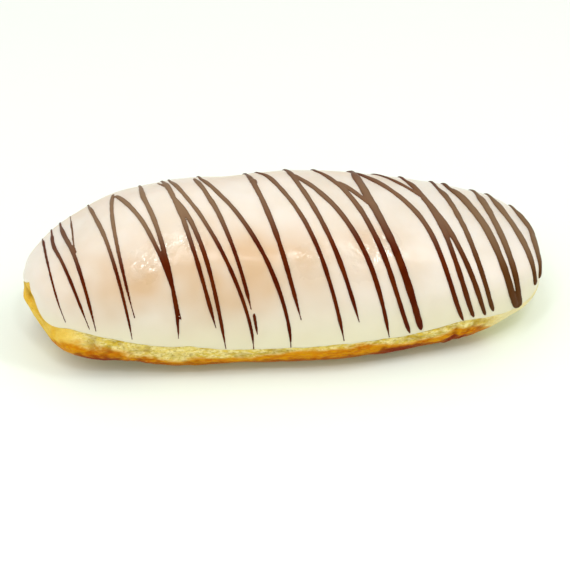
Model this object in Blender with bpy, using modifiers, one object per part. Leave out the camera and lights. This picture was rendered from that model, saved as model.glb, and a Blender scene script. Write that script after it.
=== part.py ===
"""A chocolate-filled brioche: a long, soft finger bun with white icing poured over its top.

The bun lies along X on its own flat base, which is centred on the origin, and its crest is up.
One family of curves gives the whole outside, and both pieces are moulded from a sphere by it:
the dough, which is sunk under the icing and bulges out below it, and the shell of icing.
Sizes are in metres.
"""

import math

import bmesh
import bpy
from mathutils import Vector, noise

# The outside of the whole bun, before it swells and sinks at the places below.
LENGTH = 0.160
WIDTH = 0.0665
CREST = 0.0452  # the height of the icing over the middle
BROADEST = 0.0163  # the height at which the middle is widest
UPPER_POWER = 2.3  # of the section: 2 is an ellipse, and more is squarer
LOWER_POWER = 3.8
BASE_SINK = 0.0006  # how far the round underside is pressed flat

# Each end: the height of its tip, and how blunt it is in plan, along the crest and underneath.
LEFT_END = {"tip": 0.0217, "plan": 2.15, "crest": 1.95, "keel": 2.8}
RIGHT_END = {"tip": 0.0197, "plan": 2.95, "crest": 1.55, "keel": 3.1}

# Where the dough rose unevenly: the place as a share of the half-length, its spread, and by
# what share the bun is wider and taller there.
SWELLS = (
    (-0.92, 0.12, 0.10, -0.17),
    (-0.72, 0.17, 0.01, 0.12),
    (-0.45, 0.22, -0.06, 0.14),
    (-0.15, 0.22, -0.07, 0.00),
    (0.45, 0.22, -0.05, -0.02),
    (0.72, 0.17, 0.00, -0.06),
)
LUMP_SIZE = 0.019  # of the shallow lumps all over
LUMP_DEPTH = 0.0004

# The icing, and the height above the base of its wavy lower edge.
ICING = 0.0015  # its thickness
GAP = 0.0003  # between the icing and the dough
LIP_GAP = 0.0005  # between the icing's edge and the dough's rim under it
LIP_ROUNDING = 0.0006
EDGE_LOW = 0.0098
EDGE_LIFT_LEFT = 0.0120  # the edge turns up round both tips
EDGE_LIFT_RIGHT = 0.0075
EDGE_TURN_LEFT = 34  # the higher, the closer to the tip it turns up
EDGE_TURN_RIGHT = 18
# Rises of the edge: the place as a share of the half-length, its spread and its height.
EDGE_RISES_FRONT = (
    (-0.82, 0.22, 0.0070),
    (-0.42, 0.12, 0.0013),
    (0.20, 0.12, 0.0006),
    (0.64, 0.14, 0.0030),
)
EDGE_RISES_BACK = (
    (-0.62, 0.22, 0.0042),
    (0.05, 0.16, 0.0024),
    (0.75, 0.20, 0.0045),
)

# The bare rim of dough under the icing, which stands out a little and is puckered.
RIM_BULGE = 0.0005
RIM_SHARE = 0.45  # how much of the way from the icing to the middle of the base it takes
RIM_PUCKER = 0.0007
PUCKER_SIZE = 0.007
# Where the rim swells out more: the place as a share of the half-length, its spread and depth.
RIM_SWELLS = ((-0.80, 0.13, 0.0021), (0.93, 0.10, 0.0010), (0.35, 0.15, 0.0003))

# How finely the pieces are modelled.
SEGMENTS = 64
ICED_ROWS = 15
BARE_ROWS = 18
BARE_SPACING = 1.5  # above 1 crowds the rows of the bare dough towards the icing's edge
BISECTIONS = 30  # of the search for the icing's edge
NORMAL_STEP = 0.003  # of the unit sphere, to each side of a point
LIP_BEVEL_SEGMENTS = 2
LIP_ANGLE = math.radians(60)  # only the lip of the icing is this sharp


def superellipse(share, power):
    """The breadth left at a share of the way to a tip: 1 in the middle and 0 at the tip."""
    return max(0.0, 1.0 - abs(share) ** power) ** (1.0 / power)


def bump(share, place, spread):
    return math.exp(-(((share - place) / spread) ** 2))


def section(share):
    """Half-width, height of the broadest level, rise above it and drop below it, at one station."""
    end = LEFT_END if share < 0 else RIGHT_END
    wider = 1 + sum(wide * bump(share, place, spread) for place, spread, wide, _ in SWELLS)
    taller = 1 + sum(tall * bump(share, place, spread) for place, spread, _, tall in SWELLS)
    half_width = WIDTH / 2 * superellipse(share, end["plan"]) * wider
    level = BROADEST + (end["tip"] - BROADEST) * abs(share) ** 3
    rise = (CREST - BROADEST) * superellipse(share, end["crest"]) * taller
    drop = (level + BASE_SINK) * superellipse(share, end["keel"])
    return half_width, level, rise, drop


def bun_point(direction):
    """The point of the outside that a unit direction stands for."""
    half_width, level, rise, drop = section(direction.x)
    tilt = math.atan2(direction.z, direction.y)
    above = tilt >= 0
    power = 2 / (UPPER_POWER if above else LOWER_POWER)
    across = math.copysign(abs(math.cos(tilt)) ** power, math.cos(tilt))
    height = (rise if above else -drop) * abs(math.sin(tilt)) ** power
    return Vector((direction.x * LENGTH / 2, half_width * across, level + height))


def outward(direction):
    """The way the outside faces at that point."""
    aside = direction.orthogonal().normalized() * NORMAL_STEP
    ahead = direction.cross(aside)
    first = bun_point((direction + aside).normalized()) - bun_point((direction - aside).normalized())
    second = bun_point((direction + ahead).normalized()) - bun_point((direction - ahead).normalized())
    return first.cross(second).normalized()


def skin_point(direction, depth):
    """A point at this depth under the outside, which has shallow lumps and is flat underneath."""
    depth += LUMP_DEPTH * noise.noise(direction * (WIDTH / LUMP_SIZE))
    point = bun_point(direction) - outward(direction) * depth
    point.z = max(0.0, point.z)
    return point


def edge_height(direction):
    """How high above the base the icing ends, where the surface faces this way."""
    share = direction.x
    front = 0.5 - 0.5 * direction.y / max(1e-9, math.hypot(direction.x, direction.y))
    height = EDGE_LOW
    for weight, rises in ((front, EDGE_RISES_FRONT), (1 - front, EDGE_RISES_BACK)):
        height += weight * sum(tall * bump(share, place, spread) for place, spread, tall in rises)
    if share < 0:
        return height + EDGE_LIFT_LEFT * abs(share) ** EDGE_TURN_LEFT
    return height + EDGE_LIFT_RIGHT * share**EDGE_TURN_RIGHT


def facing(turn, lean):
    """The unit direction at an angle round the Z axis and an angle down from it."""
    flat = math.sin(lean)
    return Vector((flat * math.cos(turn), flat * math.sin(turn), math.cos(lean)))


def edge_lean(turn, lift):
    """How far down from the top the icing reaches on this side, less a lift."""
    high, low = 0.0, math.pi
    for _ in range(BISECTIONS):
        lean = (high + low) / 2
        direction = facing(turn, lean)
        if bun_point(direction).z > edge_height(direction) + lift:
            high = lean
        else:
            low = lean
    return high


def ball(rows):
    """A unit sphere with its poles up and down."""
    mesh = bmesh.new()
    bmesh.ops.create_uvsphere(mesh, u_segments=SEGMENTS, v_segments=rows, radius=1.0)
    return mesh


def place_on_ball(vertex, rows):
    """The angle of a sphere's vertex round the Z axis, and its row counted from the top."""
    lean = math.acos(max(-1.0, min(1.0, vertex.co.z)))
    return math.atan2(vertex.co.y, vertex.co.x), round(lean / math.pi * rows)


def rim_bulge(direction, share):
    """How far the bare dough stands out, this share of the way from the icing to the base."""
    swelling = sum(deep * bump(direction.x, place, spread) for place, spread, deep in RIM_SWELLS)
    bulge = (RIM_BULGE + swelling) * math.sin(math.pi * min(1.0, share / RIM_SHARE))
    pucker = RIM_PUCKER * noise.noise(direction * (LENGTH / 2 / PUCKER_SIZE))
    return bulge + pucker * math.sin(math.pi * share)


def dough_mesh():
    """The ball moulded to the bun: sunk under the icing, and out to the full size below it."""
    rows = ICED_ROWS + BARE_ROWS
    mesh = ball(rows)
    for vertex in mesh.verts:
        turn, row = place_on_ball(vertex, rows)
        edge = edge_lean(turn, 0.0)
        if row <= ICED_ROWS:
            direction = facing(turn, edge * row / ICED_ROWS)
            vertex.co = skin_point(direction, ICING + GAP)
            continue
        share = ((row - ICED_ROWS) / BARE_ROWS) ** BARE_SPACING
        direction = facing(turn, edge + (math.pi - edge) * share)
        vertex.co = skin_point(direction, -rim_bulge(direction, share))
    return mesh


def icing_mesh():
    """The upper half of a ball, moulded to the bun down to the icing's edge."""
    rows = 2 * ICED_ROWS
    mesh = ball(rows)
    below = [vertex for vertex in mesh.verts if place_on_ball(vertex, rows)[1] > ICED_ROWS]
    bmesh.ops.delete(mesh, geom=below, context="VERTS")
    for vertex in mesh.verts:
        turn, row = place_on_ball(vertex, rows)
        direction = facing(turn, edge_lean(turn, LIP_GAP) * row / ICED_ROWS)
        vertex.co = skin_point(direction, 0.0)
    return mesh


def material(name, colour, roughness):
    made = bpy.data.materials.new(name)
    made.use_nodes = True
    shader = made.node_tree.nodes["Principled BSDF"]
    shader.inputs["Base Color"].default_value = (*colour, 1.0)
    shader.inputs["Roughness"].default_value = roughness
    shader.inputs["Metallic"].default_value = 0.0
    made.diffuse_color = (*colour, 1.0)
    return made


def add_object(name, mesh, collection, finish):
    data = bpy.data.meshes.new(name)
    bmesh.ops.recalc_face_normals(mesh, faces=mesh.faces)
    mesh.to_mesh(data)
    mesh.free()
    data.shade_smooth()
    data.materials.append(finish)
    made = bpy.data.objects.new(name, data)
    collection.objects.link(made)
    return made


def make_dough(collection):
    finish = material("dough", (0.62, 0.36, 0.06), 0.6)
    return add_object("dough", dough_mesh(), collection, finish)


def make_icing(collection):
    """A shell over the top of the dough, with a rounded lower lip."""
    finish = material("icing", (0.86, 0.78, 0.65), 0.25)
    icing = add_object("icing", icing_mesh(), collection, finish)
    shell = icing.modifiers.new("shell", "SOLIDIFY")
    shell.thickness = ICING
    shell.offset = -1.0
    lip = icing.modifiers.new("lip", "BEVEL")
    lip.width = LIP_ROUNDING
    lip.segments = LIP_BEVEL_SEGMENTS
    lip.limit_method = "ANGLE"
    lip.angle_limit = LIP_ANGLE
    return icing


def main():
    for old in list(bpy.data.objects):
        bpy.data.objects.remove(old)
    collection = bpy.data.collections.new("chocolate_filled_brioche")
    bpy.context.scene.collection.children.link(collection)
    make_dough(collection)
    make_icing(collection)


main()
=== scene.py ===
# %% [markdown]
# # A chocolate-filled brioche
# This notebook dresses a long, soft finger bun: golden dough, white icing poured over its top
# and fine lines of dark chocolate flicked across the icing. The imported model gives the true
# form of the dough and of the shell of icing. Here each gets a finer skin with the crumb, lumps
# and gloss of the real thing, and the chocolate is laid over them.

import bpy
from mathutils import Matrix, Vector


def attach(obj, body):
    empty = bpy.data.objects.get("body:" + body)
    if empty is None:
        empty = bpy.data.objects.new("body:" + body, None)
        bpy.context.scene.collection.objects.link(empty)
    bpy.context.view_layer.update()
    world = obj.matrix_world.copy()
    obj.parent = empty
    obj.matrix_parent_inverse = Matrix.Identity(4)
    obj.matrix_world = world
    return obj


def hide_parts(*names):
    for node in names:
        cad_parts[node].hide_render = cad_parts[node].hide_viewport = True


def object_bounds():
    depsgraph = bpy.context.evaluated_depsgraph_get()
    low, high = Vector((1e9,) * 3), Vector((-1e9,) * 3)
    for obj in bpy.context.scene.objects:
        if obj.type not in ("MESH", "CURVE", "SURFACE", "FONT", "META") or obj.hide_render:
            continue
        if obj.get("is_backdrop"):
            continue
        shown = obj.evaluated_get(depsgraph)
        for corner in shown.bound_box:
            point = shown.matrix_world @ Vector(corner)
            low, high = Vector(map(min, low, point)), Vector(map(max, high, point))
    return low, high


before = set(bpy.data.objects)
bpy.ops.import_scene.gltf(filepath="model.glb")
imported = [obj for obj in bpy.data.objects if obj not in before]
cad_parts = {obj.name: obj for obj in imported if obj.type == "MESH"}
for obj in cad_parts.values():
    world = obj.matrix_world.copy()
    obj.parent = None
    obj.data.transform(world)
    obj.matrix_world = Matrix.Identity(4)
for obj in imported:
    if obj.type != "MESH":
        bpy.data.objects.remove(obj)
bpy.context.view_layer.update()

# %% [markdown]
# ## Helpers for measures
# Food is easiest to think of in millimetres, and Blender works in metres. Soft steps and round
# bumps come back all through the notebook: a step turns one finish into another, and a bump
# puts a swelling or a patch somewhere along the bun.

# %% Measures, steps and bumps
import math

import bmesh
import bpy
from mathutils import Quaternion, Vector, noise

MM = 0.001


def soft_step(value, low, high):
    """0 below low, 1 above high, and a smooth slope between them."""
    share = max(0.0, min(1.0, (value - low) / (high - low)))
    return share * share * (3 - 2 * share)


def bump(value, place, spread):
    return math.exp(-(((value - place) / spread) ** 2))


def ripple(point, size, seed, stretch=1.0):
    """Smooth noise from about -1 to 1, in lumps of this size.

    A seed picks other noise, and a stretch draws the lumps out along the bun.
    """
    point = Vector((point.x / stretch, point.y, point.z))
    return noise.noise(point / size + Vector((seed, 2.3 * seed, -1.7 * seed)))


def layered(place, layers):
    """The height of several layers of noise. Each is given by its height and size in mm,
    its seed and, if it has one, its stretch."""
    return sum(height * MM * ripple(place, size * MM, *rest) for height, size, *rest in layers)


# %% [markdown]
# ## The camera
# A bun this long looks best from a little above its side, with a long lens from some way off so
# that its two ends keep their true sizes. It is turned slightly, so that the right end is
# farther away. The camera looks a little below the bun, which leaves more room under it.

# %% Camera
CAMERA_TURN = math.radians(8.6)
CAMERA_RISE = math.radians(35)
CAMERA_DISTANCE = 600 * MM
VIEW_WIDTH = 175.8 * MM  # how much the camera takes in at the bun
ORBIT_CENTRE = Vector((0, 0, 18)) * MM
LOOK_AT = Vector((-0.3, -3.3, 13.3)) * MM


def put_in_scene(name, data):
    made = bpy.data.objects.new(name, data)
    bpy.context.scene.collection.objects.link(made)
    return made


def add_camera():
    flat = math.cos(CAMERA_RISE)
    aside, back = -flat * math.sin(CAMERA_TURN), -flat * math.cos(CAMERA_TURN)
    away = Vector((aside, back, math.sin(CAMERA_RISE)))
    data = bpy.data.cameras.new("camera")
    data.lens = data.sensor_width * CAMERA_DISTANCE / VIEW_WIDTH
    camera = put_in_scene("camera", data)
    camera.location = ORBIT_CENTRE + CAMERA_DISTANCE * away
    camera.rotation_euler = (LOOK_AT - camera.location).to_track_quat("-Z", "Y").to_euler()
    bpy.context.scene.camera = camera
    return camera


print("The lens is", round(add_camera().data.lens), "mm long")

# %% [markdown]
# ## The tent
# Iced buns look best in a bright white tent: the icing glows, and only a thin shadow is left
# where the bun touches the floor. A white world stands for the tent's walls.

# %% Tent
TENT_STRENGTH = 0.5


def add_tent():
    world = bpy.data.worlds.new("tent")
    world.use_nodes = True
    walls = world.node_tree.nodes["Background"]
    walls.inputs["Color"].default_value = (1, 1, 1, 1)
    walls.inputs["Strength"].default_value = TENT_STRENGTH
    bpy.context.scene.world = world
    bpy.context.scene.view_settings.view_transform = "Standard"


add_tent()
print("The walls of the tent glow at", TENT_STRENGTH)

# %% [markdown]
# ## The floor
# The floor is milk glass on a light table: it glows a little and is faintly green, so its
# shadows stay light beside the warm crust. Both helpers made for it are used for the bun too.

# %% Floor
FLOOR_HALF = 3  # m, so that it reaches past everything the camera sees
FLOOR_COLOUR = (0.75, 0.80, 0.77, 1)
FLOOR_GLOW = (0.10, 0.11, 0.04, 1)


def to_object(name, shape):
    """An object in the scene from a bmesh, which is used up."""
    data = bpy.data.meshes.new(name)
    shape.to_mesh(data)
    shape.free()
    return put_in_scene(name, data)


def new_finish(name, fixed):
    """A material with these values set on its shader, and its tree and shader to go on with."""
    finish = bpy.data.materials.new(name)
    finish.use_nodes = True
    shader = finish.node_tree.nodes["Principled BSDF"]
    for label, value in fixed.items():
        shader.inputs[label].default_value = value
    return finish, finish.node_tree, shader


def add_floor():
    shape = bmesh.new()
    bmesh.ops.create_grid(shape, x_segments=1, y_segments=1, size=FLOOR_HALF)
    floor = to_object("floor", shape)
    glass, _, _ = new_finish(
        "floor",
        {
            "Base Color": FLOOR_COLOUR,
            "Roughness": 0.9,
            "Emission Color": FLOOR_GLOW,
            "Emission Strength": 1.0,
        },
    )
    floor.data.materials.append(glass)
    floor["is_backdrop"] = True


add_floor()
print("The floor is", 2 * FLOOR_HALF, "m wide")

# %% [markdown]
# ## Soft boxes
# A wide panel overhead is the tent's bright ceiling, which gives the upper half of the icing a
# milky sheen. Three strip lights in front of it make the wrinkles on the shoulder sparkle. Cards
# in front and at both ends open up the shade under the rim.

# %% Soft boxes
SOFT_BOXES = (
    # name, where it stands (mm), its two sides (mm), its turn (degrees), how bright its face is
    ("ceiling_panel", (-150, 320, 640), (1000, 1100), 0, 0.69),
    ("left_strip", (-160, -260, 620), (20, 460), 0, 32.0),
    ("middle_strip", (31, -350, 620), (70, 60), 0, 36.0),
    ("right_strip", (310, -110, 620), (32, 260), -47, 34.0),
    ("front_card", (-100, -600, 130), (1000, 220), 0, 0.8),
    ("left_card", (-520, -150, 340), (400, 400), 0, 1.2),
    ("right_card", (520, -150, 340), (400, 400), 0, 1.3),
)


def add_soft_box(name, place, sides, turn, brightness):
    data = bpy.data.lights.new(name, "AREA")
    data.shape = "RECTANGLE"
    data.size, data.size_y = sides[0] * MM, sides[1] * MM
    data.energy = brightness * math.pi * data.size * data.size_y
    lamp = put_in_scene(name, data)
    lamp.location = Vector(place) * MM
    aim = (ORBIT_CENTRE - lamp.location).to_track_quat("-Z", "Y")
    lamp.rotation_euler = (Quaternion((0, 0, 1), math.radians(turn)) @ aim).to_euler()


for soft_box in SOFT_BOXES:
    add_soft_box(*soft_box)
print(len(SOFT_BOXES), "soft boxes light the bun")

# %% [markdown]
# ## Feeling for the form
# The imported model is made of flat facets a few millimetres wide. A finer skin needs the smooth
# form that they stand for. A copy of a node is merged, its triangles are paired into four-sided
# faces, and two levels of subdivision round it off. The result is kept as a tree that rays can
# be cast at.
#
# The rays come in towards a spine, a line inside the bun, from every direction round it. A
# direction is a turn round the upright axis and a lean down from straight up. So any point of
# the skin has an address, and a sphere's vertices can be moved one by one to the bun's skin.

# %% Rays towards the spine
from mathutils.bvhtree import BVHTree

SPINE_HALF = 60 * MM
SPINE_HEIGHT = 17 * MM
RAY_LENGTH = 90 * MM
MERGE = 0.001 * MM
PAIRING_ANGLE = math.radians(60)
ROUNDING_LEVELS = 2
LEAST_LEAN = 0.2  # the icing and the dough both reach farther down than this everywhere
HALVINGS = 22  # each halves the doubt about a lean that is looked for


def smooth_form(node):
    """A CAD node's surface with its facets rounded off, as a tree for ray casts."""
    shape = bmesh.new()
    shape.from_mesh(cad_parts[node].data)
    bmesh.ops.remove_doubles(shape, verts=shape.verts, dist=MERGE)
    bmesh.ops.join_triangles(
        shape,
        faces=shape.faces,
        angle_face_threshold=PAIRING_ANGLE,
        angle_shape_threshold=PAIRING_ANGLE,
    )
    helper = to_object("form", shape)
    rounding = helper.modifiers.new("rounding", "SUBSURF")
    rounding.levels = rounding.render_levels = ROUNDING_LEVELS
    form = BVHTree.FromObject(helper, bpy.context.evaluated_depsgraph_get())
    bpy.data.objects.remove(helper)
    return form


def facing(turn, lean):
    flat = math.sin(lean)
    return Vector((flat * math.cos(turn), flat * math.sin(turn), math.cos(lean)))


def ray_to(form, spine_point, outward):
    """Where a ray from outside to this point meets a form, and the way the form faces there."""
    start = spine_point + outward * RAY_LENGTH
    place, normal, _, _ = form.ray_cast(start, -outward, RAY_LENGTH)
    return place, normal


def touch(form, direction):
    """Where a form lies in this direction from the spine, and the way it faces there."""
    return ray_to(form, Vector((SPINE_HALF * direction.x, 0, SPINE_HEIGHT)), direction)


def last_lean(turn, holds):
    """The furthest lean down at which something still holds, going down from straight up."""
    high, low = LEAST_LEAN, math.pi
    for _ in range(HALVINGS):
        lean = (high + low) / 2
        if holds(facing(turn, lean)):
            high = lean
        else:
            low = lean
    return high


icing_form = smooth_form("icing")
dough_form = smooth_form("dough")
crest, _ = touch(icing_form, Vector((0, 0, 1)))
print("The crest is", round(crest.z / MM, 1), "mm above the floor")

# %% [markdown]
# ## Where the icing ends
# Round the whole bun, the icing stops at a wavy line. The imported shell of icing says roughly
# where: it is the last lean at which a ray still meets the shell. Poured icing creeps unevenly,
# so a ripple is added, and a few places where it stopped short or ran on. At the left tip it
# stopped well short, and left a curl of dough bare. At the right end it is a little short too.

# %% The edge of the icing and of the base
EDGE_CREEP = 0.35 * MM
BASE_HEIGHT = 1.1 * MM
# Turn round the bun and spread (degrees), and how much farther the icing ran (mm). It is less
# than 0 where the icing stopped short.
EDGE_RUNS = (
    (197, 6.5, -3.6),
    (205, 4, -3.2),
    (213, 10, -0.3),
    (222, 3, -0.6),
    (243, 6, -0.4),
    (248.5, 3, -0.5),
    (277, 14, -0.5),
    (318, 9, 0.5),
    (333, 4, 1.3),
    (347, 7, -2.4),
    (60, 12, -0.8),
    (115, 9, 0.6),
)


def around(turn, where, spread):
    """A bump on a full turn, in degrees."""
    return bump((turn - where + 180) % 360, 180, spread)


def total_at(turn, places):
    """The sum of the bumps in a table, each given by its turn, its spread and its height."""
    return sum(height * around(turn, where, spread) for where, spread, height in places)


def edge_of(turn):
    """The lean at which the icing ends at this turn, and at which its packed shell does."""
    shell = last_lean(turn, lambda direction: touch(icing_form, direction)[0] is not None)
    place, _ = touch(icing_form, facing(turn, shell))
    spine_station = SPINE_HALF * math.sin(shell) * math.cos(turn)
    radius = (place - Vector((spine_station, 0, SPINE_HEIGHT))).length
    run = EDGE_CREEP * (ripple(place, 9 * MM, 3.1) + 0.6 * ripple(place, 3.5 * MM, 8.2))
    run += MM * total_at(math.degrees(turn), EDGE_RUNS)
    return shell + run / radius, shell


edge_leans = [edge_of(math.radians(degree))[0] for degree in range(360)]
first_end, last_end = (round(math.degrees(end(edge_leans))) for end in (min, max))
print("The icing ends", first_end, "to", last_end, "degrees down from the crest")

# %% [markdown]
# ## A ball to mould
# Both skins start as a sphere with its poles up and down. Each vertex has a column, its place
# round the sphere, and a row, its place from the top pole to the bottom one. A function says
# where each row and column belongs on the bun, and the ball is moulded by moving the vertices.
#
# The bun is long, so columns at equal turns would crowd at its ends. They are spaced by equal
# steps along its outline instead.

# %% Moulding a ball
OUTLINE_STEPS = 1440
OUTLINE_LEAN = math.radians(100)  # a little below the level of the spine


def even_turns(columns):
    """Turns that divide the bun's outline into steps of equal length."""
    turns = [2 * math.pi * step / OUTLINE_STEPS for step in range(OUTLINE_STEPS + 1)]
    outline = [touch(dough_form, facing(turn, OUTLINE_LEAN))[0] for turn in turns]
    walked = [0.0]
    for near, far in zip(outline, outline[1:]):
        walked.append(walked[-1] + (far - near).length)
    found, step = [], 0
    for column in range(columns):
        wanted = walked[-1] * column / columns
        while walked[step + 1] < wanted:
            step += 1
        share = (wanted - walked[step]) / (walked[step + 1] - walked[step])
        found.append(turns[step] + share * (turns[step + 1] - turns[step]))
    return found


def mould_ball(name, columns, rows, place_vertex, marks):
    """A closed skin from a sphere. place_vertex says where a vertex of this column and row
    belongs, and what its marks are."""
    shape = bmesh.new()
    bmesh.ops.create_uvsphere(shape, u_segments=columns, v_segments=rows, radius=1)
    layers = [shape.verts.layers.float.new(mark) for mark in marks]
    for vertex in shape.verts:
        row = round(math.acos(max(-1, min(1, vertex.co.z))) / math.pi * rows)
        column = round(math.atan2(vertex.co.y, vertex.co.x) / (2 * math.pi) * columns) % columns
        vertex.co, values = place_vertex(column, row)
        for layer, value in zip(layers, values):
            vertex[layer] = value
    bmesh.ops.recalc_face_normals(shape, faces=shape.faces)
    piece = to_object(name, shape)
    piece.data.shade_smooth()
    return piece


def report(piece):
    data = piece.evaluated_get(bpy.context.evaluated_depsgraph_get()).to_mesh()
    triangles = sum(len(face.vertices) - 2 for face in data.polygons)
    print(f"{piece.name} has {triangles} triangles")


# %% [markdown]
# ## The icing
# Sugar icing is poured warm, levels itself, and sets with soft lumps, a few sunk bubbles and a
# rounded lip. It runs thin low on the left half of the bun, where the crust shows through as a
# beige blush, and gathers creamier just above its edge. On the shoulder it wrinkled in a few
# patches, which sparkle.
#
# A shell can be moulded from a ball too: the upper rows are the outside, a few rows turn round
# the lip, and the lower rows go back up inside. So the skin is closed by construction. Three
# marks are kept for the finish: how thin the icing ran, how near its edge it is, and how
# wrinkled.

# %% Lumps, wrinkles and blush
ICING_COLUMNS = 780
ICING_OUTER_ROWS = 108
ICING_LIP_ROWS = 8
ICING_INNER_ROWS = 6
ICING_THICKNESS = 1.0 * MM
LIP_START = 1.6 * MM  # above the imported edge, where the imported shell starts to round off
ICING_RADIUS = 32 * MM  # roughly, from the spine to the edge of the icing
EDGE_STEP = 0.02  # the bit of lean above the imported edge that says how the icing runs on
LIP_STEP = 0.01  # the bit of lean above the lip that says which way the lip points
CREAM_ANGLES = (20, -12)  # degrees above the level of the spine, from white to creamy
BUBBLE_SIZE = 3.4 * MM
BUBBLE_REACH = 0.30  # of the size
BUBBLE_DEPTH = 0.08 * MM
# Height and size (mm), and seed.
ICING_LUMPS = ((0.36, 15, 1.3), (0.17, 6.5, 4.9), (0.03, 2.4, 7.1))
WRINKLE_HEIGHT = 0.22 * MM
WRINKLE_REACH = 2  # radii, beyond which a patch of wrinkles has faded out
SKIN_RADIUS = 30  # mm, roughly, from the spine to the skin
BACK_WRINKLES = 0.4  # how strong they are on the far side
# Station (mm), angle above the level of the spine (degrees), radius (mm) and strength.
WRINKLES = (
    (-31, 56, 5, 0.9),
    (-38, 53, 5, 1.0),
    (-44, 45, 5, 1.0),
    (4, 39, 5, 1.0),
    (26, 44, 6, 1.0),
    (21, 38, 6, 1.0),
    (17, 33, 5, 0.7),
)
# Station (mm), angle (degrees), spread along the bun (mm) and across it (degrees), strength.
BLUSHES = (
    (-34, 34, 34, 28, 0.85),
    (-8, 38, 18, 20, 0.5),
    (24, 50, 9, 14, 0.5),
    (-62, 36, 14, 26, 0.4),
    (-20, 70, 75, 40, 0.2),
    (30, 20, 50, 30, 0.15),
    (14, 36, 18, 9, 0.3),
)


def spine_angle(place):
    """The angle above the level of the spine, in degrees, the same on the near and far side."""
    return math.degrees(math.atan2(place.z - SPINE_HEIGHT, abs(place.y)))


def wrinkle_share(place):
    angle = spine_angle(place)
    found = 0.0
    for station, where, radius, strength in WRINKLES:
        off_along = (place.x / MM - station) / radius
        off_across = math.radians(angle - where) * SKIN_RADIUS / radius
        if max(abs(off_along), abs(off_across)) < WRINKLE_REACH:
            found = max(found, strength * math.exp(-(off_along**2) - off_across**2))
    return found * (1 if place.y < 0 else BACK_WRINKLES)


def icing_relief(place, wrinkled):
    """Soft lumps from the pouring, the dents of bubbles that sank in, and wrinkles."""
    wrinkles = WRINKLE_HEIGHT * ripple(place, 1.9 * MM, 5.7) * wrinkled
    bubble = max(0.0, 1 - noise.voronoi(place / BUBBLE_SIZE)[0][0] / BUBBLE_REACH)
    scattered = soft_step(ripple(place, 9 * MM, 2.9), 0.05, 0.4)
    return layered(place, ICING_LUMPS) + wrinkles - BUBBLE_DEPTH * bubble * scattered


def thin_share(place):
    """The blush of the crust where the icing ran thin."""
    angle = spine_angle(place)
    found = sum(
        strength * bump(place.x / MM, station, length) * bump(angle, where, height)
        for station, where, length, height, strength in BLUSHES
    )
    patches = 0.78 + 0.5 * ripple(place, 13 * MM, 6.4) + 0.25 * ripple(place, 5 * MM, 3.3)
    return min(1.0, max(0.0, found * patches))


# %% [markdown]
# ### Moulding the icing
# Each column of the ball runs down one turn round the bun: from the crest to the edge on the
# outside, half a circle round the lip, and back up to the crest on the inside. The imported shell
# rounds off towards its edge. The new one goes on straight from just above there, so that it can
# stop short or run on as the edge says.

# %% Mould the icing
icing_turns = even_turns(ICING_COLUMNS)
icing_edges = [edge_of(turn) for turn in icing_turns]


def icing_skin(turn, lean, shell):
    """A point of the icing's outside and the way it faces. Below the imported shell's last whole
    part it runs on straight."""
    limit = shell - LIP_START / ICING_RADIUS
    place, normal = touch(icing_form, facing(turn, min(lean, limit)))
    if lean > limit:
        above, _ = touch(icing_form, facing(turn, limit - EDGE_STEP))
        place = place + (place - above) / EDGE_STEP * (lean - limit)
    return place + normal * icing_relief(place, wrinkle_share(place)), normal


def place_icing(column, row):
    turn = icing_turns[column]
    edge, shell = icing_edges[column]
    if row <= ICING_OUTER_ROWS:
        down = row / ICING_OUTER_ROWS
        place, _ = icing_skin(turn, edge * down, shell)
        creamy = soft_step(spine_angle(place), *CREAM_ANGLES)
        return place, (thin_share(place), creamy, wrinkle_share(place))
    rim, normal = icing_skin(turn, edge, shell)
    above, _ = icing_skin(turn, edge - LIP_STEP, shell)
    radius = ICING_THICKNESS / 2
    if row <= ICING_OUTER_ROWS + ICING_LIP_ROWS:
        angle = math.pi * (row - ICING_OUTER_ROWS) / ICING_LIP_ROWS
        onward = (rim - above).normalized() * math.sin(angle)
        return rim + radius * (normal * (math.cos(angle) - 1) + onward), (0.0, 1.0, 0.0)
    back = 1 - (row - ICING_OUTER_ROWS - ICING_LIP_ROWS) / ICING_INNER_ROWS
    place, normal = icing_skin(turn, edge * back, shell)
    return place - normal * ICING_THICKNESS, (0.0, 0.0, 0.0)


icing = mould_ball(
    "icing_skin",
    ICING_COLUMNS,
    ICING_OUTER_ROWS + ICING_LIP_ROWS + ICING_INNER_ROWS,
    place_icing,
    ("thin", "edge", "wrinkled"),
)
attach(icing, "root")
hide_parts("icing")
report(icing)

# %% [markdown]
# ## The dough
# A brioche bun has two skins below its icing. Just under the icing is a pale band, where the
# dough tore and stretched as it rose: it is rough, with open pores and streaks that run along
# the bun. Below that the bun touched the tin, and has a smooth amber crust with dark patches at
# the very bottom. The line between them wanders, and the crust stands out over the torn band
# like a lip. The two ends never tore, so they are smooth and pale. At the left tip the dough
# bulges in two knobs with a fold between them, and it stands on a rounded foot nearby.
#
# The relief is real geometry, worked out from noise at several sizes and from round pores.
# Marks are kept on the vertices for the finish: how much crust a point has, how scorched it is, how
# smooth and bare, and how much shade is painted on it in pores, folds and low dips.

# %% What the dough is like
DOUGH_COLUMNS = 1240
DOUGH_HIDDEN_ROWS = 5
DOUGH_RIM_ROWS = 60
DOUGH_BASE_ROWS = 11
LEDGE = 0.18 * MM
PORE_SIZE = 1.3 * MM
PORE_REACH = 0.42  # of the size
PORE_DEPTH = 0.35 * MM
# Height and size (mm), seed, and stretch.
SMOOTH_LUMPS = ((0.20, 5, 2.2), (0.05, 1.3, 6.1, 1.5))
TORN_HEIGHT = 0.30  # mm
TORN_LUMPS = ((TORN_HEIGHT, 1.9, 0.6, 3), (0.22, 0.9, 9.3, 2))
COARSE_HEIGHT = 0.40 * MM
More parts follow.
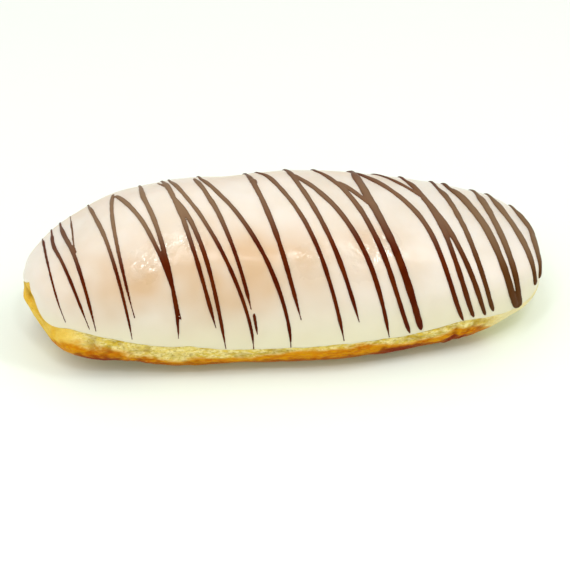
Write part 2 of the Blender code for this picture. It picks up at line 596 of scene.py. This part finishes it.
# How far down the rim the crust and the scorched part start, and how soft their edges are, as
# shares of the rim's height.
CRUST_LINE = 0.27
CRUST_FADE = 0.045
SCORCH_LINE = 0.45
SCORCH_FADE = 0.05
# Turn round the bun and spread (degrees), and how much of the rim's height the crust gains, or
# loses where it is less than 0.
CRUST_RISES = (
    (199, 9, -0.45),
    (221, 6, 0.1),
    (245, 5, -0.12),
    (279, 9, 0.13),
    (295, 4, -0.05),
    (303, 5, 0.08),
    (320, 6, -0.6),
    (332, 12, -0.8),
    (354, 16, -0.8),
    (90, 14, 0.10),
    (130, 8, -0.10),
    (50, 10, -0.1),
)
# Turn and spread (degrees) of the scorched patches, the bare ends and the coarsest crumb.
SCORCHES = ((228, 6), (290, 6), (301.5, 1.5), (304, 1.2), (70, 6), (110, 5), (150, 4))
BARE_ENDS = ((200, 24), (345, 36))
COARSE = ((303, 5), (236, 6), (60, 12))
# Where the icing stands off the dough and leaves a dark crease.
CREASES = ((240, 6), (300, 7), (215, 5), (130, 12), (75, 9))
# Turn and spread (degrees), height and spread (mm), and how far the dough swells there (mm).
SWELLS = (
    (187, 11, 19.5, 7.0, -1.0),
    (188, 9, 22.2, 1.5, 1.2),
    (188, 9, 17.2, 1.9, 1.5),
    (205, 8, 12.5, 3.6, -1.4),
    (221, 7, 10.0, 4.0, 0.9),
    (222, 5, 2.5, 4.0, -1.1),
    (230, 10, 2.0, 4.5, -1.1),
    (244, 6, 2.5, 4.0, 0.6),
    (316, 9, 6.0, 5.0, -0.5),
    (332, 12, 5.0, 5.0, -0.8),
)
# Folds pressed into the dough, given in the same way. Painted shade darkens them in the finish.
FOLDS = ((188, 11, 19.6, 0.7, -1.3), (228, 1.1, 12.6, 2.6, -0.9), (301, 0.8, 8.5, 3, -0.5))

# %% [markdown]
# ### What a column keeps
# Much stays the same all the way down one column of the ball, such as where the icing ends and
# how bare the dough is. It is worked out once for each column.

# %% One column of the dough
def nearest(turn, places):
    """How near a turn is to the nearest of these places, from 0 to 1."""
    return max(around(turn, where, spread) for where, spread in places)


def above_base(direction):
    return touch(dough_form, direction)[0].z > BASE_HEIGHT


class Column:
    """What stays the same all the way down one column of the dough."""

    def __init__(self, turn):
        degrees = math.degrees(turn)
        self.turn = turn
        self.edge, self.shell = edge_of(turn)
        self.base = last_lean(turn, above_base)
        self.line = CRUST_LINE - total_at(degrees, CRUST_RISES)
        self.scorched = nearest(degrees, SCORCHES)
        self.bare = soft_step(nearest(degrees, BARE_ENDS), 0.25, 0.5)
        self.coarse = nearest(degrees, COARSE)
        self.baked = soft_step(self.line, 0.6, 0.3)
        self.crease = nearest(degrees, CREASES)
        self.swells, self.folds = (
            [
                (out * around(degrees, where, spread), high, tall)
                for where, spread, high, tall, out in table
                if around(degrees, where, spread) > 0.01
            ]
            for table in (SWELLS, FOLDS)
        )


# %% [markdown]
# ### Crust, pores and relief
# The crust and the scorched part start at lines that wander with two sizes of noise. Pores are
# the cells of a Voronoi noise, kept only where a slower noise lets them be.

# %% Crust, pores and relief
def crust_share(place, column, down):
    """How much crust there is at a place this share of the way down the rim."""
    line = column.line + 0.08 * ripple(place, 9 * MM, 5.5, 1.6)
    line += 0.07 * ripple(place, 2.4 * MM, 1.9, 3)
    return soft_step(down, line - CRUST_FADE, line + CRUST_FADE)


def scorch_share(place, column, down):
    edge = SCORCH_LINE - 0.12 * column.scorched
    edge -= 0.06 * ripple(place, 3.5 * MM, 7.7, 2) + 0.07 * ripple(place, 1.3 * MM, 2.6, 1.5)
    strength = 0.6 + 0.4 * column.scorched
    return soft_step(down, edge - SCORCH_FADE, edge + SCORCH_FADE) * strength * column.baked


def pore(place):
    """Round pits of many sizes, only where a slower noise lets them be."""
    hole = max(0.0, 1 - noise.voronoi(place / PORE_SIZE)[0][0] / PORE_REACH)
    return hole * soft_step(ripple(place, 4 * MM, 4.4), -0.05, 0.4)


def dough_relief(place, column, crust, pit):
    """How far the rim stands out, torn above and smooth below, and how much shade is painted there
    for its pores, folds and low dips.
    """
    smooth = layered(place, SMOOTH_LUMPS)
    relief, painted_shade = smooth, 0.0
    if column.bare < 1:
        torn = layered(place, TORN_LUMPS)
        rough = (torn - PORE_DEPTH * pit) * (1 - crust) + (smooth + LEDGE) * crust
        relief = rough * (1 - column.bare) + smooth * column.bare
        # Painted shade: the finish darkens pores, the low parts of coarse lumps and folds.
        pit_shade = max(0.0, pit - torn / (TORN_HEIGHT * MM))
        painted_shade = pit_shade * (1 - 0.7 * crust) * (1 - column.bare)
    if column.coarse > 0.05:
        lump = ripple(place, 2.3 * MM, 3.8, 1.3) + 0.7 * ripple(place, 1.1 * MM, 5.9, 1.3)
        lump *= column.coarse
        relief += COARSE_HEIGHT * lump
        painted_shade += max(0.0, -1.5 * lump)
    for out, high, tall in column.swells:
        relief += out * MM * bump(place.z / MM, high, tall)
    for out, high, tall in column.folds:
        fold = out * bump(place.z / MM, high, tall)
        relief += fold * MM
        painted_shade -= fold
    return relief, min(1.0, painted_shade)


# %% [markdown]
# ### Moulding the dough
# Here a column runs down from the crest, hidden under the icing, then over the rim that shows,
# and in under the base to its middle. Most rows are spent on the rim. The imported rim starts
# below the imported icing's edge. Where the new edge leaves room above that, the dough slopes up
# and in, so that it ends under the lip.

# %% Mould the dough
TUCK_TOP = 0.03  # how much lean the dough's rim goes on under the icing
TUCK_DEPTH = 0.47  # mm, from the icing's face in to the top of the rim
CREASE_DEPTH = 0.45  # mm, that much farther in where there is a dark crease
LEDGE_GAP = 1.2 * MM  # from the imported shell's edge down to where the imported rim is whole
HIDDEN_LEAN = 0.09  # how far above the icing's edge the hidden rows end
HIDDEN_DEPTH = 0.5  # mm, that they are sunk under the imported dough
# The relief fades in round the icing's edge, over this much lean above and below it.
FADE_ABOVE, FADE_BELOW = 0.005, 0.03

dough_columns = [Column(turn) for turn in even_turns(DOUGH_COLUMNS)]


def tucked(column, lean):
    """A point of the dough's rim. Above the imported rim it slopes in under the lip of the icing."""
    whole = column.shell + LEDGE_GAP / (SKIN_RADIUS * MM)
    place, normal = touch(dough_form, facing(column.turn, max(lean, whole)))
    if lean < whole:
        start = column.edge - TUCK_TOP
        rim, facing_out = icing_skin(column.turn, start, column.shell)
        top = rim - facing_out * (TUCK_DEPTH + CREASE_DEPTH * column.crease) * MM
        place = top.lerp(place, (lean - start) / (whole - start))
    return place, normal


def place_dough(index, row):
    column = dough_columns[index]
    edge, base = column.edge, column.base
    if row <= DOUGH_HIDDEN_ROWS:
        lean = (edge - HIDDEN_LEAN) * row / DOUGH_HIDDEN_ROWS
        place, normal = touch(dough_form, facing(column.turn, lean))
        return place - normal * HIDDEN_DEPTH * MM, (0.0, 0.0, 0.0, 0.0)
    if row <= DOUGH_HIDDEN_ROWS + DOUGH_RIM_ROWS:
        down = (row - DOUGH_HIDDEN_ROWS - 1) / (DOUGH_RIM_ROWS - 1)
        lean = edge - TUCK_TOP + (base - edge + TUCK_TOP) * down
    else:
        down = 1.0
        below = row - DOUGH_HIDDEN_ROWS - DOUGH_RIM_ROWS
        lean = base + (math.pi - base) * below / DOUGH_BASE_ROWS
    place, normal = tucked(column, lean)
    crust, scorch = crust_share(place, column, down), scorch_share(place, column, down)
    pit = pore(place) * (1 - crust) * (1 - column.bare)
    free = soft_step(lean, edge - FADE_ABOVE, edge + FADE_BELOW)
    relief, painted_shade = dough_relief(place, column, crust, pit)
    place = place + normal * relief * free
    place.z = max(0.0, place.z)
    return place, (crust, scorch, column.bare, painted_shade)


dough = mould_ball(
    "dough_skin",
    DOUGH_COLUMNS,
    DOUGH_HIDDEN_ROWS + DOUGH_RIM_ROWS + DOUGH_BASE_ROWS,
    place_dough,
    ("crust", "scorch", "bare", "painted_shade"),
)
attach(dough, "root")
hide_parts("dough")
report(dough)

# %% [markdown]
# ## The chocolate lines
# The chocolate was flicked to and fro across the bun, so its lines slant one way, meet in
# points on top and thin out to tails low on the sides. A line is given by the angles round the
# spine where it starts and ends (0 is level with the spine on the near side, 90 is the crest)
# and by four stations along the bun, at equal steps of angle. A smooth curve runs through them.
# Most lines come over from the far side, where they go on almost straight. Two broad ones run
# together near the right end, and a drop hangs from where they meet.
#
# The list is given in the order the chocolate was laid, from left to right.

# %% The list of lines
# Angle at which it starts on the back (0 if it starts on top), angle on top, angle at its near
# end, four stations (mm), width (mm), length of its tail (mm).
LINES = (
    (165, 127, 4, (-73, -72.5, -71.4, -68.4), 1.1, 8),
    (178, 104, 1, (-70.1, -68.7, -65.4, -61.6), 1.45, 8),
    (170, 116, 0, (-67.2, -65.3, -62.4, -59.8), 1.6, 8),
    (150, 100, 64, (-64, -64, -64, -63.5), 0.95, 6),
    (182, 117, -5, (-58.2, -55.5, -52, -49.4), 1.5, 8),
    (0, 119, 12, (-50.5, -52, -51, -48.3), 1.4, 10),
    (0, 113, 10, (-50, -44.4, -38.8, -34.9), 1.5, 8),
    (184, 95, -4, (-42, -39.1, -36.7, -35.9), 1.8, 7),
    (0, 118, 103, (-37, -36.3, -35.5, -34.6), 1.1, 3),
    (176, 118, 3, (-35.2, -32.5, -28.8, -24.8), 1.8, 7),
    (0, 92, -12, (-33.9, -27.9, -24.4, -22), 1.55, 7),
    (186, 114, -13, (-33, -26.3, -18.1, -13.8), 1.6, 7),
    (0, 115, 14, (-25.9, -22.1, -17.9, -14.3), 1.6, 5),
    (0, 12, -2, (-13.6, -13.3, -13, -12.7), 1.05, 3),
    (180, 112, -13, (-23.6, -15, -6.6, -2.8), 1.75, 7),
    (187, 118, 6, (-9.3, -7, -3.8, 0.3), 1.95, 8),
    (0, 107, 100, (-8.6, -8.4, -8.2, -8), 2.5, 1.5),
    (178, 123, -9, (-5.4, 1.6, 8, 13.1), 1.75, 8),
    (185, 123, 2, (3.2, 6.7, 11.9, 17.6), 2.0, 7),
    (0, 112, -11, (4.3, 14.9, 22.2, 27), 1.85, 7),
    (181, 121, -11, (12.9, 21.1, 26.9, 33.5), 2.15, 4),
    (0, 104, 77, (17, 20.3, 23.2, 25.3), 2.1, 3),
    (184, 125, -10, (24.1, 25.9, 30.8, 37), 3.0, 3),
    (176, 127, -9, (24.5, 38, 43.8, 50.3), 2.2, 4),
    (165, 130, 98, (32.5, 37.3, 40.9, 43.8), 2.1, 3),
    (183, 128, -7, (40.6, 44.9, 47.7, 53.4), 2.3, 3),
    (0, 100, -8, (43.5, 47.3, 51.8, 57.2), 2.2, 2),
    (180, 130, -7, (50.6, 52.8, 54.8, 59.9), 2.3, 2),
    (172, 137, -14, (54.8, 59.6, 62.5, 68.3), 3.1, 2),
    (186, 138, -18, (63.4, 64.8, 66.1, 70.1), 2.7, 2),
    (-11, -11, -26, (68.6, 68.0, 67.2, 66.3), 3.4, 1.5),
    (176, 140, -4, (68.3, 70.8, 72.5, 75), 2.9, 2),
    (178, 145, -3, (75.4, 77.8, 77.1, 76.9), 3.1, 2),
)
print(len(LINES), "lines of chocolate")

# %% [markdown]
# ### Laying a bead
# The bead is a cylinder, cut into short lengths and bent along the line: each ring of vertices
# is moved to its point on the icing and turned to face along the line. It is flatter than it
# is wide, its width wavers a little, and it thins out at both ends.

# %% Beads along the lines
BEAD_SIDES = 12
BEAD_STEP = 0.45 * MM
BEAD_FLATNESS = 0.55
BEAD_SINK = 0.22  # of the width
FEWEST_STEPS = 6
START_TAPER = 1.5 * MM
START_WIDTH = 0.35  # share of the taper that a line starts with
TAIL_END = 0.2  # share of the taper that a long tail ends with
THICK_START, THIN_END = 1.1, 0.66  # of the width: a line thins on its way down
TAIL_WIDTH = 0.56 * MM
LONGEST_ROUND_TAIL = 4  # mm
NARROW_BACK = 0.45  # share of its width that a line loses where it goes over the back
BACK_ANGLE = 116  # degrees from which it counts as the back, or more where a line says so
NARROWS_FROM, NARROWS_TO = -12, 4  # degrees from there, where it narrows
STRAIGHTENING = 3  # degrees in which a line loses its slant on the back
SLANT_SHARE = 0.02  # the first bit of a line on top, which says how it slants
WALK_PER_DEGREE = 0.56 * MM

skin = BVHTree.FromObject(icing, bpy.context.evaluated_depsgraph_get())


def on_icing(station, angle):
    """The point of the icing at this station and angle round the spine, and the way it faces."""
    outward = Vector((0, -math.cos(math.radians(angle)), math.sin(math.radians(angle))))
    return ray_to(skin, Vector((station * MM, 0, SPINE_HEIGHT)), outward)


def through(stations, share):
    """A smooth curve through four stations that are equal steps apart."""
    first, second, third, fourth = stations
    step = 3 * share
    return (
        -first * (step - 1) * (step - 2) * (step - 3) / 6
        + second * step * (step - 2) * (step - 3) / 2
        - third * step * (step - 1) * (step - 3) / 2
        + fourth * step * (step - 1) * (step - 2) / 6
    )


def station_at(angle, top, near, stations):
    if angle <= top:
        return through(stations, (top - angle) / (top - near))
    slant = (through(stations, SLANT_SHARE) - stations[0]) / (SLANT_SHARE * (top - near))
    beyond = angle - top
    return stations[0] - slant * STRAIGHTENING * (1 - math.exp(-beyond / STRAIGHTENING))


def line_path(over, top, near, stations):
    """The line's points on the icing, with the way the icing faces and the share of its width."""
    start = max(over, top)
    steps = max(FEWEST_STEPS, round((start - near) * WALK_PER_DEGREE / BEAD_STEP))
    back = max(top, BACK_ANGLE)
    path = []
    for step in range(steps + 1):
        angle = start + (near - start) * step / steps
        place, normal = on_icing(station_at(angle, top, near, stations), angle)
        if place is not None:
            over_back = soft_step(angle, back + NARROWS_FROM, back + NARROWS_TO)
            path.append((place, normal, 1 - NARROW_BACK * over_back))
    return path


def bead_width(place, walked, left, width, tail):
    """Wavers a little. Long tails run out to a thread, and short ones end round."""
    waver = 1 + 0.14 * ripple(place, 7 * MM, 5.2) + 0.1 * ripple(place, 2.6 * MM, 1.7)
    thinning = (THICK_START - THIN_END) * (walked / (walked + left)) ** 1.5
    full = width * MM * waver * (THICK_START - thinning)
    start = min(1.0, START_WIDTH + walked / START_TAPER) ** 0.5
    share = min(1.0, left / (tail * MM))
    if tail > LONGEST_ROUND_TAIL:
        end = (TAIL_END + (1 - TAIL_END) * share) ** 0.8
    else:
        end = (1 - (1 - share) ** 2) ** 0.5
    return max(TAIL_WIDTH, full * start * end)


def lay_bead(shape, path, width, tail):
    """Bends a cylinder along a path and adds it to the mesh that holds all the beads."""
    lengths = [(b[0] - a[0]).length for a, b in zip(path, path[1:])]
    bead = bmesh.new()
    bmesh.ops.create_cone(bead, cap_ends=True, segments=BEAD_SIDES, radius1=1, radius2=1, depth=1)
    long_edges = [edge for edge in bead.edges if edge.verts[0].co.z * edge.verts[1].co.z < 0]
    bmesh.ops.subdivide_edges(bead, edges=long_edges, cuts=len(path) - 2)
    for vertex in bead.verts:
        index = round((vertex.co.z + 0.5) * (len(path) - 1))
        place, normal, share = path[index]
        ahead = path[min(index + 1, len(path) - 1)][0] - path[max(index - 1, 0)][0]
        aside = ahead.cross(normal).normalized()
        walked, left = sum(lengths[:index]), sum(lengths[index:])
        thick = bead_width(place, walked, left, width * share, tail)
        centre = place + normal * thick * (0.5 * BEAD_FLATNESS - BEAD_SINK)
        around_centre = aside * vertex.co.x + normal * BEAD_FLATNESS * vertex.co.y
        vertex.co = centre + thick / 2 * around_centre
    data = bpy.data.meshes.new("bead")
    bead.to_mesh(data)
    bead.free()
    shape.from_mesh(data)
    bpy.data.meshes.remove(data)


# %% [markdown]
# ### Letting the beads run together
# Where two lines meet, liquid chocolate flows into one. A voxel remesh joins all the beads into
# one skin, a little smoothing fills the notches between them, and a decimation takes away
# the points that flat stretches don't need.

# %% Join the beads
VOXEL = 0.2 * MM
SMOOTHINGS = 8
KEPT_SHARE = 0.28  # of the triangles


def apply_modifiers(piece):
    dressed = piece.evaluated_get(bpy.context.evaluated_depsgraph_get())
    data = bpy.data.meshes.new_from_object(dressed)
    piece.modifiers.clear()
    piece.data = data


def make_drizzle():
    shape = bmesh.new()
    for over, top, near, stations, width, tail in LINES:
        lay_bead(shape, line_path(over, top, near, stations), width, tail)
    bmesh.ops.recalc_face_normals(shape, faces=shape.faces)
    piece = to_object("chocolate_drizzle", shape)
    joined = piece.modifiers.new("joined", "REMESH")
    joined.mode = "VOXEL"
    joined.voxel_size = VOXEL
    joined.adaptivity = 0.0
    flowed = piece.modifiers.new("flowed", "SMOOTH")
    flowed.factor, flowed.iterations = 0.5, SMOOTHINGS
    lighter = piece.modifiers.new("lighter", "DECIMATE")
    lighter.ratio = KEPT_SHARE
    apply_modifiers(piece)
    piece.data.shade_smooth()
    return piece


drizzle = make_drizzle()
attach(drizzle, "root")
report(drizzle)

# %% [markdown]
# ## Building finishes
# Each finish is a tree of shader nodes. A few short helpers keep the trees readable: one adds a
# node and fills its sockets, one mixes two colours, and one stretches a range of values.

# %% Helpers for shader nodes
def fill(tree, socket, value):
    """Links a socket to another node's socket, or sets it to any other value."""
    if isinstance(value, bpy.types.NodeSocket):
        tree.links.new(value, socket)
    else:
        socket.default_value = value


def add_node(tree, kind, settings=None, **inputs):
    """Adds a node with these settings and fills its inputs."""
    made = tree.nodes.new(kind)
    for name, value in (settings or {}).items():
        setattr(made, name, value)
    for name, value in inputs.items():
        fill(tree, made.inputs[name.replace("_", " ")], value)
    return made


def mix_colours(tree, share, first, second):
    made = tree.nodes.new("ShaderNodeMix")
    made.data_type = "RGBA"
    for index, value in ((0, share), (6, first), (7, second)):
        fill(tree, made.inputs[index], value)
    return made.outputs[2]


def stretch(tree, value, low, high, to_low=0.0, to_high=1.0):
    """Maps a range of values to another with a smooth slope."""
    ends = {"From_Min": low, "From_Max": high, "To_Min": to_low, "To_Max": to_high}
    smooth = {"interpolation_type": "SMOOTHSTEP"}
    return add_node(tree, "ShaderNodeMapRange", smooth, Value=value, **ends).outputs["Result"]


def calculate(tree, operation, first, second=0.0):
    made = tree.nodes.new("ShaderNodeMath")
    made.operation = operation
    for socket, value in zip(made.inputs, (first, second)):
        fill(tree, socket, value)
    return made.outputs[0]


def mark(tree, name):
    """The values of one of the marks that were kept on the vertices."""
    return add_node(tree, "ShaderNodeAttribute", {"attribute_name": name}).outputs["Fac"]


def position(tree):
    """Where on the bun a point lies, to be taken apart into X, Y and Z."""
    place = add_node(tree, "ShaderNodeTexCoord").outputs["Object"]
    return add_node(tree, "ShaderNodeSeparateXYZ", Vector=place).outputs


# %% [markdown]
# ### Two effects as node groups
# Mottling is the slow, uneven change of tone that all baked and poured food has, drawn out along the
# bun where dough stretched. Pits are fine holes, here the pinhole bubbles in the icing. Each is a
# node group, built once and used with its own values wherever it is needed.

# %% Mottling and pits
def new_group(name, inputs, output):
    group = bpy.data.node_groups.new(name, "ShaderNodeTree")
    for label, value in inputs:
        socket = group.interface.new_socket(label, in_out="INPUT", socket_type="NodeSocketFloat")
        socket.default_value = value
    group.interface.new_socket(output, in_out="OUTPUT", socket_type="NodeSocketFloat")
    given, out = group.nodes.new("NodeGroupInput"), group.nodes.new("NodeGroupOutput")
    return group, given.outputs, out.inputs


def make_mottling():
    inputs = (("Scale", 100), ("Stretch", 1), ("Detail", 3), ("Low", 0.35), ("High", 0.65))
    group, given, out = new_group("Mottling", inputs, "Mask")
    place = add_node(group, "ShaderNodeTexCoord").outputs["Object"]
    shorter = calculate(group, "DIVIDE", 1.0, given["Stretch"])
    drawn = add_node(group, "ShaderNodeCombineXYZ", X=shorter, Y=1.0, Z=1.0).outputs["Vector"]
    stretched = add_node(group, "ShaderNodeVectorMath", {"operation": "MULTIPLY"})
    group.links.new(place, stretched.inputs[0])
    group.links.new(drawn, stretched.inputs[1])
    cloud = add_node(
        group,
        "ShaderNodeTexNoise",
        Vector=stretched.outputs["Vector"],
        Scale=given["Scale"],
        Detail=given["Detail"],
    )
    mask = stretch(group, cloud.outputs["Fac"], given["Low"], given["High"])
    group.links.new(mask, out["Mask"])
    return group


def make_pits():
    inputs = (("Scale", 900), ("Size", 0.4), ("Spread", 0.5))
    group, given, out = new_group("Pits", inputs, "Depth")
    place = add_node(group, "ShaderNodeTexCoord").outputs["Object"]
    cells = add_node(group, "ShaderNodeTexVoronoi", Vector=place, Scale=given["Scale"])
    hole = stretch(group, cells.outputs["Distance"], given["Size"], 0.0)
    cloud = add_node(
        group,
        "ShaderNodeTexNoise",
        Vector=place,
        Scale=calculate(group, "MULTIPLY", given["Scale"], 0.22),
        Detail=2,
    )
    allowed = stretch(group, cloud.outputs["Fac"], given["Spread"], 0.75)
    group.links.new(calculate(group, "MULTIPLY", hole, allowed), out["Depth"])
    return group


MOTTLING = make_mottling()
PITS = make_pits()


def use_group(tree, group, **values):
    made = tree.nodes.new("ShaderNodeGroup")
    made.node_tree = group
    for name, value in values.items():
        made.inputs[name].default_value = value
    return made.outputs[0]


print("Shared effects:", MOTTLING.name, "and", PITS.name)

# %% [markdown]
# ### From a finish to a piece
# Every finish ends in one Principled shader. Its fixed values, such as how much light sinks in,
# are set on its own sockets, and only what changes over the surface is linked: the colour, the
# gloss, and a grain too fine to be moulded.

# %% Finishing a piece
def complete(tree, shader, colour, gloss, height, strength, depth):
    """Links the colour, the gloss, and a grain of this height, strength and depth."""
    grain = add_node(tree, "ShaderNodeBump", Strength=strength, Distance=depth, Height=height)
    tree.links.new(colour, shader.inputs["Base Color"])
    tree.links.new(gloss, shader.inputs["Roughness"])
    tree.links.new(grain.outputs["Normal"], shader.inputs["Normal"])


def put_on(piece, finish):
    piece.data.materials.clear()
    piece.data.materials.append(finish)
    print(piece.name, "is finished as", finish.name)


def shade(red, green, blue):
    """A colour as a paint chart gives it, from 0 to 255, in the linear values that shaders use."""
    return (*[(part / 255) ** 2.2 for part in (red, green, blue)], 1)


def grey(level):
    return (level, level, level, 1)


# %% [markdown]
# ### Icing
# The icing is warm white. Its blush is beige where it ran thin, and it is creamier by its
# edge. Some light sinks in and spreads, which softens its lumps. It dried to a soft gloss, and
# stayed wet-looking on its wrinkles.

# %% Icing
def finish_icing():
    finish, tree, shader = new_finish(
        "poured icing",
        {
            "Subsurface Weight": 0.25,
            "Subsurface Radius": (1.0, 0.8, 0.55),
            "Subsurface Scale": 2.2 * MM,
            "IOR": 1.45,
            "Coat Weight": 0.2,
            "Coat Roughness": 0.2,
        },
    )
    slow = use_group(tree, MOTTLING, Scale=55, Detail=4, Low=0.38, High=0.64)
    fine = use_group(tree, MOTTLING, Scale=330, Detail=3, Low=0.4, High=0.7)
    body = mix_colours(tree, slow, shade(228, 219, 206), shade(221, 210, 193))
    cream = mix_colours(tree, mark(tree, "edge"), body, shade(227, 219, 188))
    colour = mix_colours(tree, mark(tree, "thin"), cream, shade(207, 174, 136))
    gloss = mix_colours(tree, fine, grey(0.34), grey(0.46))
    gloss = mix_colours(tree, mark(tree, "wrinkled"), gloss, grey(0.04))
    pits = use_group(tree, PITS, Scale=700, Size=0.3, Spread=0.5)
    crinkles = use_group(tree, MOTTLING, Scale=1000, Detail=2, Low=0.42, High=0.6)
    crinkles = calculate(tree, "MULTIPLY", crinkles, mark(tree, "wrinkled"))
    height = calculate(tree, "SUBTRACT", crinkles, pits)
    complete(tree, shader, colour, gloss, height, 0.35, 0.12 * MM)
    return finish


put_on(icing, finish_icing())

# %% [markdown]
# ### Dough
# The torn band is straw yellow and matt, with paler ridges. Its pores, folds and low dips are
# darkened with painted shade, olive in the torn band and red-brown in the crust. The crust is amber
# with a slight shine and fine lighter flecks of painted highlight, and scorched patches are
# red-brown. The ends are smooth and golden. Fine grain goes in the bump, as it is smaller than the
# mesh's faces.

# %% Dough
def finish_dough():
    finish, tree, shader = new_finish(
        "baked brioche",
        {
            "Subsurface Weight": 0.1,
            "Subsurface Radius": (1.0, 0.5, 0.15),
            "Subsurface Scale": 1.2 * MM,
            "IOR": 1.4,
            "Specular IOR Level": 0.08,
        },
    )
    slow = use_group(tree, MOTTLING, Scale=160, Stretch=2, Detail=4, Low=0.35, High=0.65)
    quick = use_group(tree, MOTTLING, Scale=1300, Stretch=2.5, Detail=4, Low=0.4, High=0.62)
    torn = mix_colours(tree, slow, shade(226, 204, 112), shade(214, 184, 68))
    torn = mix_colours(tree, quick, torn, shade(236, 220, 150))
    flecks = use_group(tree, MOTTLING, Scale=2000, Stretch=1.5, Detail=3, Low=0.52, High=0.66)
    torn = mix_colours(tree, calculate(tree, "MULTIPLY", flecks, 0.55), torn, shade(170, 138, 46))
    place = position(tree)
    low = stretch(tree, place["Z"], 3 * MM, 8.5 * MM, 0.7, 0.0)
    torn = mix_colours(tree, low, torn, shade(222, 168, 24))
    crust = mix_colours(tree, slow, shade(212, 138, 0), shade(188, 102, 0))
    # Fine lighter flecks of painted highlight on the crust, where the fine grain stands up.
    crust = mix_colours(tree, calculate(tree, "MULTIPLY", quick, 0.6), crust, shade(220, 162, 16))
    golden = mix_colours(tree, slow, shade(238, 202, 96), shade(226, 178, 58))
    far_right = stretch(tree, place["X"], 40 * MM, 68 * MM)
    ends = mix_colours(tree, far_right, golden, shade(236, 222, 168))
    upper = mix_colours(tree, mark(tree, "bare"), torn, ends)
    colour = mix_colours(tree, mark(tree, "crust"), upper, crust)
    colour = mix_colours(tree, mark(tree, "scorch"), colour, shade(126, 42, 0))
    # Painted shade in pores, folds and low dips: olive in the torn band, red-brown in the crust.
    pit_shade = mix_colours(tree, mark(tree, "crust"), shade(158, 124, 34), shade(128, 52, 0))
    painted_shade = calculate(tree, "MULTIPLY", mark(tree, "painted_shade"), 0.65)
    colour = mix_colours(tree, painted_shade, colour, pit_shade)
    gloss = mix_colours(tree, mark(tree, "crust"), grey(0.75), grey(0.45))
    complete(tree, shader, colour, gloss, quick, 0.7, 0.3 * MM)
    return finish


put_on(dough, finish_dough())

# %% [markdown]
# ### Chocolate
# Set chocolate is dark brown with a soft sheen. High on the bun its colour is painted a lighter,
# milky brown, a painted sheen for the light from above, and towards the right end it is a cooler
# brown.

# %% Chocolate
# Heights over which the lines are painted lighter: a painted sheen.
PAINTED_SHEEN_START = 40 * MM
PAINTED_SHEEN_FULL = 49.5 * MM
RIDGE_TOP = -10 * MM  # where along the bun its ridge is highest
RIDGE_DROP = 2.8  # it falls by this times the square of the way from there, in metres


def finish_chocolate():
    finish, tree, shader = new_finish(
        "set chocolate",
        {
            "IOR": 1.42,
            "Specular IOR Level": 0.06,
            "Specular Tint": (1.0, 0.8, 0.55, 1),
        },
    )
    slow = use_group(tree, MOTTLING, Scale=160, Detail=3, Low=0.35, High=0.65)
    dark = mix_colours(tree, slow, shade(76, 24, 0), shade(88, 34, 0))
    place = position(tree)
    away = calculate(tree, "SUBTRACT", place["X"], RIDGE_TOP)
    drop = calculate(tree, "MULTIPLY", calculate(tree, "MULTIPLY", away, away), RIDGE_DROP)
    level = calculate(tree, "ADD", place["Z"], drop)
    # Painted sheen: the lines turn a lighter, milky brown high on the bun, where the light from
    # above falls on them.
    painted_sheen = stretch(tree, level, PAINTED_SHEEN_START, PAINTED_SHEEN_FULL, 0.0, 0.85)
    far_right = stretch(tree, place["X"], 42 * MM, 62 * MM, 0.0, 0.75)
    dark = mix_colours(tree, far_right, dark, shade(86, 58, 30))
    colour = mix_colours(tree, painted_sheen, dark, shade(136, 112, 86))
    gloss = mix_colours(tree, slow, grey(0.34), grey(0.46))
    height = use_group(tree, MOTTLING, Scale=1400, Detail=3, Low=0.3, High=0.7)
    complete(tree, shader, colour, gloss, height, 0.2, 0.06 * MM)
    return finish


put_on(drizzle, finish_chocolate())

# %% [markdown]
# ## The size
# The box round the dressed bun is measured, and its sides are printed in millimetres.

looks_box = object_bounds()
sides = [round(side / MM, 1) for side in looks_box[1] - looks_box[0]]
print("The dressed bun measures", sides, "mm")
